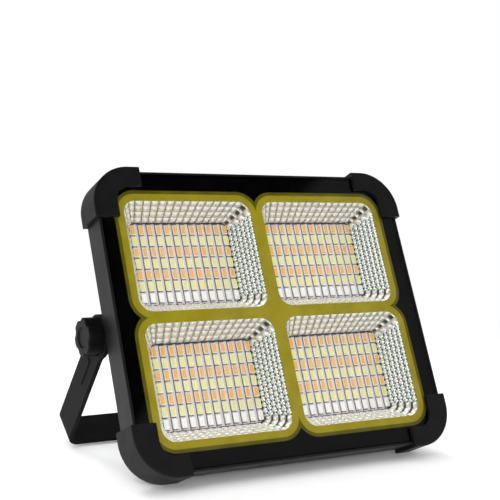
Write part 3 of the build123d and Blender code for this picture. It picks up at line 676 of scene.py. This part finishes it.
# the domes get a glossier copy of the plating with a cooler tint; the cool tint is painted reflected
# light
coolDomePlating = makeMetal({
    **metalBase, **platingBase, "name": "coolTintedDomePlating", "dark": "#dfe5e4", "light": "#f0f4f4",
    "roughness": 0.14, "metallic": 0.85,
})


def cupStations():
    # steps round a cup; each knows its stretch, that stretch's cells and how far along them it is
    f = cupFacts
    steps = f["alongSteps"]
    stations = []
    for k in range(4):
        wall = ("level", f["levelCells"]) if k % 2 == 0 else ("side", f["sideCells"])
        for kind, cells in (("corner", f["cornerCells"]), wall):
            stations += [(kind, k, cells, n / steps) for n in range(cells * steps)]
    return stations


def cupPoint(station, halfW, halfH, r):
    # a corner is an arc, and a wall runs straight from one corner to the next
    kind, k, cells, along = station
    share = along / cells
    if kind == "corner":
        return onArc(k, math.pi / 2 * (k + share), halfW, halfH, r)
    x0, z0 = onArc(k, math.pi / 2 * (k + 1), halfW, halfH, r)
    x1, z1 = onArc(k + 1, math.pi / 2 * (k + 1), halfW, halfH, r)
    return x0 + (x1 - x0) * share, z0 + (z1 - z0) * share


def domeDistance(along, down):
    # from the middle of the nearest dome, in cells; every second row is half a cell on
    f = cupFacts
    row = min(int(down * f["sideRows"]), f["sideRows"] - 1)
    v = down * f["sideRows"] - row
    reaches = []
    for near in (row - 1, row, row + 1):
        u = (along + 0.5 * (near % 2)) % 1.0
        reaches.append(math.hypot(u - 0.5, (v - 0.5 + row - near) * f["rowPacking"]))
    return min(reaches)


def facetRise(station, down):
    # bricks in straight rows on the level walls and corners, domes in staggered rows at the sides
    kind, k, cells, along = station
    f = cupFacts
    if kind != "side":
        u, v = along % 1.0, down * f["levelRows"] % 1.0
        across, deep = (1 - abs(2 * part - 1) ** f["brickCurve"] for part in (u, v))
        return f["brickRise"] * across * deep
    reach = min(domeDistance(along, down) / f["domeReach"], 1.0)
    fromEnd = min(along, cells - along, 0.5) * 2
    bulge = 0.5 + 0.5 * math.cos(math.pi * reach)
    return f["domeRise"] * bulge * fromEnd * (1 if 0 < down < 1 else 0)


def facetKind(station, down):
    # 0 for plating, 1 for a groove in painted shade, 2 for painted dark reflection and shade, 3 for a
    # cool-tinted dome
    kind, k, cells, along = station
    f = cupFacts
    along += 0.5 / f["alongSteps"]
    if kind == "side":
        return 2 if domeDistance(along, down) > f["domeGap"] else 3
    u, v = along % 1.0, down * f["levelRows"] % 1.0
    # painted dark reflections also sit in the two right-hand corners: on the middle brick of each row
    # in the upper one, and along the floor end of every brick in the lower one
    if kind == "corner" and k == 0 and int(along) == f["darkCell"]:
        if abs(u - 0.5) < f["darkHalfAlong"] and abs(v - 0.5) < f["darkHalfDown"]:
            return 2
    if kind == "corner" and k == 3 and v > f["darkFrom"]:
        return 2
    return 1 if max(u, v) > 1 - f["grooveShare"] else 0


def cupMesh():
    f = cupFacts
    stations = cupStations()
    steps = f["downSteps"]
    floorDepth = boardFace - f["floorGap"]
    grid = np.zeros((steps + 1, len(stations), 3))
    for j in range(steps + 1):
        t = j / steps
        halfW = f["mouthHalfW"] + (f["floorHalfW"] - f["mouthHalfW"]) * t
        halfH = f["mouthHalfH"] + (f["floorHalfH"] - f["mouthHalfH"]) * t
        r = f["mouthR"] + (f["floorR"] - f["mouthR"]) * t
        depth = f["mouthDepth"] + (floorDepth - f["mouthDepth"]) * t
        for i, station in enumerate(stations):
            x, z = cupPoint(station, halfW, halfH, r)
            grid[j, i] = (x, depth, z)
    # the facets rise along the wall's own inward direction, and the back of the wall stays plain
    alongWall = np.roll(grid, -1, axis=1) - np.roll(grid, 1, axis=1)
    inward = np.cross(alongWall, np.gradient(grid, axis=0))
    inward /= np.linalg.norm(inward, axis=2, keepdims=True)
    inward *= np.sign(np.sum(inward * grid * np.array([-1, 0, -1]), axis=2, keepdims=True))
    rise = np.array([[facetRise(station, j / steps) for station in stations] for j in range(steps + 1)])
    face = grid + inward * rise[:, :, None]
    behind = grid - inward * f["wall"]
    behind[:, :, 1] = np.minimum(behind[:, :, 1], floorDepth)
    loops = [face[j] for j in range(steps + 1)] + [behind[steps], behind[0]]
    count = len(stations)
    faces, kinds = [], []
    for j in range(len(loops)):
        n = (j + 1) % len(loops)
        for i in range(count):
            m = (i + 1) % count
            faces.append((j * count + i, j * count + m, n * count + m, n * count + i))
            kinds.append(facetKind(stations[i], (j + 0.5) / steps) if j < steps else 0)
    return np.concatenate(loops), faces, kinds


def makeCups():
    verts, faces, kinds = cupMesh()
    mats = [paints["mirror_plating"], grooveShadeMetal, darkReflectionMetal, coolDomePlating]
    for name in cornerNames:
        spot = boardSpots[name]
        addPiece("cup_" + name, verts, faces, mats, ["reflector_" + name],
                 kinds=kinds, at=(spot.x, 0, spot.z), crease=cupFacts["crease"])


makeCups()
print("reflector cups made")

# LED packages, in rows of one colour; the dies sit a little off the middle, towards the cathode end
ledFacts = {
    "columns": 12, "rows": 7, "pitchX": 6.327, "pitchZ": 7.85,
    "halfW": 1.85, "halfH": 3.15, "cornerR": 0.45, "leastR": 0.12, "cornerSteps": 2, "thick": 0.9,
    "edgeIn": 0.08, "edgeDeep": 0.12, "rim": 0.17, "wellIn": 0.06, "recess": 0.08,
    "coreIn": 0.28, "coreSlope": 0.1, "coreRise": 0.05, "coreRight": -0.08, "coreUp": 0.22,
    "leadHalfW": 0.75, "leadOut": 0.3, "leadIn": 0.1, "leadThick": 0.15, "crease": 40,
}
ledKinds = {
    "warm": {"rows": (0, 2, 4), "core": "#d9a55d"},
    "yellow": {"rows": (1, 3, 5), "core": "#d2cf89"},
    "white": {"rows": (6,), "core": "#dcdcdc"},
}
# board faces: painted shadow lines beside and under every package, sunk a little, and a painted shade
# ring under the cup's edge
boardMarkFacts = {
    "beside": 2.2, "besideHalf": 0.36, "under": 3.52, "underHalf": 0.32, "underAside": 0.2,
    "underHalfLen": 1.9, "deepMm": 0.05, "relief": 0.6,
    "ringHalfW": 37.1, "ringHalfH": 28.6, "ringR": 4.1, "ringInside": 0.55,
    "mask": "#b9b0ba", "maskLight": "#c6bec6", "mottleMm": 5, "packageShadow": "#4a474c", "ring": "#38353b",
}


def makeBoardMaterial():
    # white solder mask, printed thick: soft gloss, with the packages' painted shadow as dark sunken
    # lines
    f, led = boardMarkFacts, ledFacts
    mat, tree, shader = startMaterial("whiteSolderMaskBoard", {"Roughness": 0.35, "IOR": 1.5})
    coords = addNode(tree, "ShaderNodeTexCoord")
    parts = addNode(tree, "ShaderNodeSeparateXYZ", {0: coords.outputs["Object"]})

    def nearLine(axis, pitch, count, before, half):
        # 1 within half of a line that lies this far before the middle of each package
        cells = addNode(tree, "ShaderNodeMath", {
            0: parts.outputs[axis], 1: 1 / (pitch * mm), 2: (count + 1) / 2 + before / pitch,
        }, operation="MULTIPLY_ADD")
        aside = addNode(tree, "ShaderNodeMath", {0: cells.outputs[0], 1: 0.5}, operation="PINGPONG")
        near = addNode(tree, "ShaderNodeMath", {
            0: aside.outputs[0], 1: half / pitch,
        }, operation="LESS_THAN")
        return near.outputs[0]

    # dark lines beside and under each package: painted shadow of the packages
    beside = nearLine("X", led["pitchX"], led["columns"], f["beside"], f["besideHalf"])
    underZ = nearLine("Z", led["pitchZ"], led["rows"], f["under"], f["underHalf"])
    underX = nearLine("X", led["pitchX"], led["columns"], f["underAside"], f["underHalfLen"])
    under = addNode(tree, "ShaderNodeMath", {0: underZ, 1: underX}, operation="MULTIPLY")
    packageShadow = addNode(tree, "ShaderNodeMath", {0: beside, 1: under.outputs[0]}, operation="MAXIMUM")
    # rounded ring under the cup's edge: painted shade where the cup's lip meets the board
    straight = ((f["ringHalfW"] - f["ringR"]) * mm, 1.0, (f["ringHalfH"] - f["ringR"]) * mm)
    spread = addNode(tree, "ShaderNodeVectorMath", {0: coords.outputs["Object"]}, operation="ABSOLUTE")
    past = addNode(tree, "ShaderNodeVectorMath", {
        0: spread.outputs[0], 1: straight,
    }, operation="SUBTRACT")
    past = addNode(tree, "ShaderNodeVectorMath", {
        0: past.outputs[0], 1: (0, 0, 0),
    }, operation="MAXIMUM")
    out = addNode(tree, "ShaderNodeVectorMath", {0: past.outputs[0]}, operation="LENGTH")
    ring = addNode(tree, "ShaderNodeMath", {
        0: out.outputs["Value"], 1: (f["ringR"] - f["ringInside"]) * mm,
    }, operation="GREATER_THAN")
    mottle = addNode(tree, "ShaderNodeTexNoise", {
        "Vector": coords.outputs["Object"], "Scale": 1 / (f["mottleMm"] * mm),
    })
    mask = addNode(tree, "ShaderNodeMix", {
        0: mottle.outputs["Fac"], 6: hexToLinear(f["mask"]), 7: hexToLinear(f["maskLight"]),
    }, data_type="RGBA")
    # the mask is darkened in the painted shadow lines
    packageShaded = addNode(tree, "ShaderNodeMix", {
        0: packageShadow.outputs[0], 6: mask.outputs[2], 7: hexToLinear(f["packageShadow"]),
    }, data_type="RGBA")
    # the painted shade ring darkens the board under the cup's lip
    lipShaded = addNode(tree, "ShaderNodeMix", {
        0: ring.outputs[0], 6: packageShaded.outputs[2], 7: hexToLinear(f["ring"]),
    }, data_type="RGBA")
    tree.links.new(lipShaded.outputs[2], shader.inputs["Base Color"])
    relief = addNode(tree, "ShaderNodeBump", {
        "Height": packageShadow.outputs[0], "Strength": f["relief"], "Distance": f["deepMm"] * mm,
    }, invert=True)
    tree.links.new(relief.outputs["Normal"], shader.inputs["Normal"])
    return mat


def makeBoards():
    mat = makeBoardMaterial()
    f = boardFacts
    verts, faces = slab(f["halfW"], f["halfH"], f["cornerR"], 0, f["thick"], f["edge"])
    for name in cornerNames:
        spot = boardSpots[name]
        addPiece("board_" + name, verts, faces, [mat], ["led_board_" + name],
                 at=(spot.x, boardFace, spot.z))


# PPA moulded round the lead frame: chalky warm white
ledBody = makePlastic({
    **plasticBase, "name": "whitePpaPackage", "dark": "#e4e0d8", "light": "#f2efe8",
    "roughness": 0.45, "patchMm": 3,
})
# hot-tinned copper, for leads and ribbons: soft grey metal with uneven gloss
tinnedCopper = makeMetal({**metalBase, "name": "tinnedLead", "dark": "#9d9c99", "light": "#c9c8c4"})


def makeLedMesh():
    # white frame, gel in its well, a richer patch over the dies, and a lead at each short end
    f = ledFacts
    halfW, halfH = f["halfW"], f["halfH"]
    coreFoot = f["rim"] + f["coreIn"] - f["coreSlope"]
    levels = [
        (f["thick"], 0), (f["edgeDeep"], 0), (0, f["edgeIn"]), (0, f["rim"]),
        (f["recess"], f["rim"] + f["wellIn"]), (f["recess"], coreFoot),
        (f["recess"] - f["coreRise"], coreFoot + f["coreSlope"]),
    ]
    loops = nestedLoops(levels, halfW, halfH, f["cornerR"], f["leastR"], f["cornerSteps"])
    loops[-2:] = [moved(loop, f["coreRight"], 0, f["coreUp"]) for loop in loops[-2:]]
    verts, faces = loft(loops, flip=True)
    # four rings of frame, one of gel and one of core, then the package's back and the core's face
    count = len(loops[0])
    kinds = [0] * 4 * count + [1] * count + [2] * count + [0, 2]
    parts = [(verts, faces, kinds)]
    for end in (-1, 1):
        low, high = sorted((end * (halfH - f["leadIn"]), end * (halfH + f["leadOut"])))
        lead = block(-f["leadHalfW"], f["leadHalfW"], f["thick"] - f["leadThick"], f["thick"],
                     low, high)
        parts.append(lead + (3,))
    return joined(parts)


def makeLeds():
    f = ledFacts
    verts, faces, kinds = makeLedMesh()
    front = boardFace - f["thick"]
    for name, facts in ledKinds.items():
        spots = []
        for spot in boardSpots.values():
            for row in facts["rows"]:
                z = spot.z + ((f["rows"] - 1) / 2 - row) * f["pitchZ"]
                for column in range(f["columns"]):
                    x = spot.x + (column - (f["columns"] - 1) / 2) * f["pitchX"]
                    spots.append((x, front, z))
        # phosphor settled in silicone over the dies: deeper colour than the gel round it
        core = makePlastic({
            **plasticBase, "name": name + "PhosphorCore", "dark": facts["core"],
            "light": facts["core"], "roughness": 0.25, "patchMm": 2, "relief": 0.1,
        })
        allVerts, allFaces, allKinds = joined([(moved(verts, *spot), faces, kinds) for spot in spots])
        mats = [ledBody, paints["led_" + name], core, tinnedCopper]
        addPiece("leds_" + name + "_packages", allVerts, allFaces, mats, ["leds_" + name],
                 kinds=allKinds, crease=f["crease"])


makeBoards()
makeLeds()
print("boards and LEDs made")

# solar module on the back: cells with cut corners under a clear sheet, joined by tinned ribbons
solarFacts = {
    "halfW": 96.0, "halfH": 61.0, "cornerR": 4.0, "midZ": 17.0, "clearFront": 44.06, "clearBack": 45.0,
    "edge": 0.2, "cellFront": 43.7, "cellBack": 43.98, "columns": 12, "rows": 2,
    "cellW": 14.067, "cellH": 55.4, "space": 1.2, "cut": 1.6,
    "ribbonHalf": 0.55, "ribbonThick": 0.04, "ribbonsPerCell": 2,
    "flakeMm": 9, "flakeDark": "#0d1740", "flakeLight": "#182c68",
    "fingerMm": 1.9, "fingerShare": 0.09, "finger": "#6c7686",
}


def makeCellMaterial():
    # blue antireflection coat on cast silicon: crystals 5 to 15 mm across, crossed by silver fingers
    f = solarFacts
    mat, tree, shader = startMaterial("castSiliconCell", {
        "Roughness": 0.3, "IOR": 1.5, "Specular IOR Level": 0.25,
    })
    coords = addNode(tree, "ShaderNodeTexCoord")
    flakes = addNode(tree, "ShaderNodeTexVoronoi", {
        "Vector": coords.outputs["Object"], "Scale": 1 / (f["flakeMm"] * mm),
    })
    tint = addNode(tree, "ShaderNodeSeparateColor", {0: flakes.outputs["Color"]})
    flake = addNode(tree, "ShaderNodeMix", {
        0: tint.outputs[0], 6: hexToLinear(f["flakeDark"]), 7: hexToLinear(f["flakeLight"]),
    }, data_type="RGBA")
    # real fingers are 0.08 mm wide; these are twice that, so that they show
    parts = addNode(tree, "ShaderNodeSeparateXYZ", {0: coords.outputs["Object"]})
    step = addNode(tree, "ShaderNodeMath", {
        0: parts.outputs["Z"], 1: 1 / (f["fingerMm"] * mm),
    }, operation="MULTIPLY")
    inStep = addNode(tree, "ShaderNodeMath", {0: step.outputs[0]}, operation="FRACT")
    finger = addNode(tree, "ShaderNodeMath", {
        0: inStep.outputs[0], 1: f["fingerShare"],
    }, operation="LESS_THAN")
    colour = addNode(tree, "ShaderNodeMix", {
        0: finger.outputs[0], 6: flake.outputs[2], 7: hexToLinear(f["finger"]),
    }, data_type="RGBA")
    tree.links.new(colour.outputs[2], shader.inputs["Base Color"])
    return mat


def cutCorners(x, z):
    # one wafer, its four corners cut off straight
    f = solarFacts
    halfW, halfH, cut = f["cellW"] / 2, f["cellH"] / 2, f["cut"]
    outline = ((halfW, halfH - cut), (halfW - cut, halfH), (cut - halfW, halfH),
               (-halfW, halfH - cut), (-halfW, cut - halfH), (cut - halfW, -halfH),
               (halfW - cut, -halfH), (halfW, cut - halfH))
    loops = [[(x + a, depth, z + b) for a, b in outline] for depth in (f["cellFront"], f["cellBack"])]
    return loft(loops) + (0,)


def makeSolar():
    f = solarFacts
    verts, faces = slab(f["halfW"], f["halfH"], f["cornerR"], f["clearFront"], f["clearBack"],
                        f["edge"])
    addPiece("solar_sheet", moved(verts, 0, 0, f["midZ"]), faces, [paints["solar_laminate"]],
             ["solar_laminate"])
    cells, ribbons = [], []
    for column in range(f["columns"]):
        for row in range(f["rows"]):
            x = (column - (f["columns"] - 1) / 2) * (f["cellW"] + f["space"])
            z = f["midZ"] + (row - (f["rows"] - 1) / 2) * (f["cellH"] + f["space"])
            cells.append(cutCorners(x, z))
            for n in range(f["ribbonsPerCell"]):
                at = x + f["cellW"] * ((n + 0.5) / f["ribbonsPerCell"] - 0.5)
                ribbon = block(at - f["ribbonHalf"], at + f["ribbonHalf"], f["cellBack"],
                               f["cellBack"] + f["ribbonThick"], z - f["cellH"] / 2, z + f["cellH"] / 2)
                ribbons.append(ribbon + (0,))
    verts, faces = joined(cells)[:2]
    addPiece("solar_cell_wafers", verts, faces, [makeCellMaterial()], ["solar_cells"])
    verts, faces = joined(ribbons)[:2]
    addPiece("solar_ribbons", verts, faces, [tinnedCopper])


makeSolar()
print("solar module made")

# sockets under the flap: folded shell, black tongue and gilt contacts
bayFacts = {
    "floor": 82.6, "lip": 0.12, "leastR": 0.1, "cornerSteps": 5, "shellBack": 2.0, "tongueBack": 1.9,
    "pinThick": 0.08, "pinFromTip": 0.4,
}
socketFacts = {
    "usb_a": {
        "x": 66.0, "depth": 32.7, "halfW": 6.6, "halfT": 2.9, "r": 0.5, "len": 14.0, "wall": 0.38,
        "tongueHalfW": 5.6, "tongueHalfT": 0.9, "shift": -1.2, "tongueDown": 0.9,
        "pins": 4, "pinPitch": 2.3, "pinHalf": 0.5, "pinLen": 7.5, "bothSides": False,
    },
    "type_c": {
        "x": 45.0, "depth": 33.95, "halfW": 4.5, "halfT": 1.65, "r": 1.6, "len": 8.0, "wall": 0.38,
        "tongueHalfW": 3.3, "tongueHalfT": 0.35, "shift": 0.0, "tongueDown": 0.9,
        "pins": 8, "pinPitch": 0.72, "pinHalf": 0.18, "pinLen": 4.5, "bothSides": True,
    },
}
# liquid crystal polymer, moulded thin: flat dark grey
tongueBlack = makePlastic({
    **plasticBase, "name": "mouldedLcpTongue", "dark": "#141414", "light": "#1c1c1c", "patchMm": 3,
})
# flash of gold on stamped spring bronze: warm, bright, finely streaked
contactGold = makeMetal({
    **metalBase, "name": "giltContact", "dark": "#c9a55c", "light": "#e3c27a", "roughness": 0.22,
    "streakMm": 1.0,
})


def makeSocket(name, f):
    bay = bayFacts
    end = bay["floor"] - f["len"]

    def outline(inset):
        return roundedLoop(f["halfW"] - inset, f["halfT"] - inset, max(f["r"] - inset, bay["leastR"]),
                           bay["cornerSteps"])

    folded = bay["floor"] - bay["lip"]
    levels = ((0, end), (0, folded), (bay["lip"], bay["floor"]), (f["wall"], folded),
              (f["wall"], end + bay["shellBack"]))
    loops = [[(f["x"] + a, f["depth"] + b, z) for a, b in outline(inset)] for inset, z in levels]
    parts = [loft(loops) + (0,)]
    mid = f["depth"] + f["shift"]
    top = bay["floor"] - f["tongueDown"]
    tongue = block(f["x"] - f["tongueHalfW"], f["x"] + f["tongueHalfW"], mid - f["tongueHalfT"],
                   mid + f["tongueHalfT"], end + bay["tongueBack"], top)
    parts.append(tongue + (1,))
    for n in range(f["pins"]):
        x = f["x"] + (n - (f["pins"] - 1) / 2) * f["pinPitch"]
        for side in ((1, -1) if f["bothSides"] else (1,)):
            near, far = sorted(mid + side * (f["tongueHalfT"] + lift) for lift in (0, bay["pinThick"]))
            pin = block(x - f["pinHalf"], x + f["pinHalf"], near, far, top - f["pinLen"],
                        top - bay["pinFromTip"])
            parts.append(pin + (2,))
    verts, faces, kinds = joined(parts)
    addPiece(name + "_shell", verts, faces, [paints["nickel_steel"], tongueBlack, contactGold],
             [name + "_socket"], kinds=kinds)


for socketName, facts in socketFacts.items():
    makeSocket(socketName, facts)
print("sockets made")

# pan-head screws with cross recesses, driven in from behind; shares are of the head or the shank
screwFacts = {
    "shankR": 1.5, "shankLen": 8.0, "tipShare": 0.7, "tipLen": 0.6,
    "headR": 2.7, "headT": 1.3, "edgeIn": 0.1, "edgeUp": 0.15,
    "crown": ((0.97, 0.55), (0.86, 0.85), (0.66, 1.0)),
    "slotHalf": 0.34, "slotReach": 1.55, "slotDeep": 0.8, "slotFootShare": 0.7,
    "betweenArms": (29, 45, 61),
    "coverDepth": 17.7, "coverCorners": (54.0, 90.3), "coverSides": (112.3, 42.0),
    "bumperDepth": 19.75, "bumperCorners": (107.5, 87.5),
}


def fourSpots(halfX, halfZ):
    return [(sx * halfX, sz * halfZ) for sx in (-1, 1) for sz in (-1, 1)]


def screwMesh():
    f = screwFacts
    # the angles are closest at the ends of the cross's arms, where its outline turns
    corner = math.degrees(math.atan2(f["slotHalf"], f["slotReach"]))
    quarter = [0, corner / 2, corner, *f["betweenArms"], 90 - corner, 90 - corner / 2]
    angles = [math.radians(90 * k + a) for k in range(4) for a in quarter]

    def ring(radius, depth):
        return [(radius * math.cos(a), depth, radius * math.sin(a)) for a in angles]

    def cross(scale, depth):
        points = []
        for a in angles:
            low, high = sorted((abs(math.cos(a)), abs(math.sin(a))))
            reach = min(f["slotReach"] / high, f["slotHalf"] / max(low, 1e-6))
            points.append((scale * reach * math.cos(a), depth, scale * reach * math.sin(a)))
        return points

    r, t = f["headR"], f["headT"]
    return loft([
        ring(f["shankR"] * f["tipShare"], -f["shankLen"]),
        ring(f["shankR"], -f["shankLen"] + f["tipLen"]), ring(f["shankR"], 0),
        ring(r - f["edgeIn"], 0), ring(r, f["edgeUp"]),
        *(ring(r * across, t * high) for across, high in f["crown"]),
        cross(1.0, t), cross(f["slotFootShare"], t - f["slotDeep"]),
    ])


def makeScrews():
    f = screwFacts
    verts, faces = screwMesh()
    sets = {
        "cover_screws": (f["coverDepth"], fourSpots(*f["coverCorners"]) + fourSpots(*f["coverSides"])),
        "bumper_screws": (f["bumperDepth"], fourSpots(*f["bumperCorners"])),
    }
    for name, (depth, spots) in sets.items():
        allVerts, allFaces = joined([(moved(verts, x, depth, z), faces, 0) for x, z in spots])[:2]
        addPiece(name + "_cross", allVerts, allFaces, [paints["screw_steel"]], [name])


makeScrews()
print("screws made")
